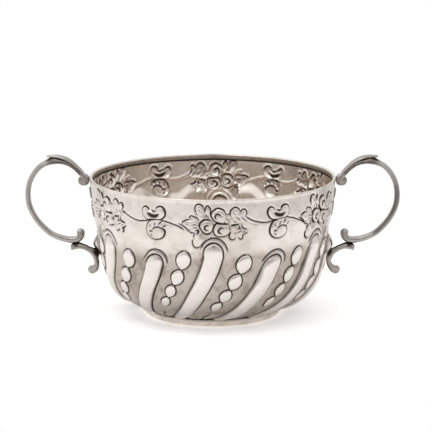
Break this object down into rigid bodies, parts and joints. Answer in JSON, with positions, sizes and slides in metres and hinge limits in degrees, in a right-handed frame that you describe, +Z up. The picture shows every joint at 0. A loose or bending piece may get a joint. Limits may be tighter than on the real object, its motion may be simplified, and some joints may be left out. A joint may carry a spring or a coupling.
{
  "type": "two-handled porringer",
  "caption": "Round silver drinking bowl with a chased floral band, swirling embossed flutes and beads, a low foot ring and a scroll handle on each side.",
  "frame": {"origin": "centre of the foot ring's resting plane, which is also the bottom centre of the whole object's box", "axes": "+Z up along the bowl's axis; the two handles lie along +X and -X; -Y is the side that faces the camera in the picture"},
  "size_m": [0.1672, 0.1102, 0.0717],
  "materials": {
    "bowl_silver": "polished silver with darkened grooves and fine wear",
    "foot_silver": "polished silver, worn on the tread",
    "handle_silver": "polished silver, slightly tarnished in the hollows"
  },
  "bodies": {
    "root": {"bowl": "bowl_silver", "foot_ring": "foot_silver", "right_main_scroll": "handle_silver", "right_cap_strap": "handle_silver", "right_bracket_scroll": "handle_silver", "left_main_scroll": "handle_silver", "left_cap_strap": "handle_silver", "left_bracket_scroll": "handle_silver"}
  },
  "joints": []
}
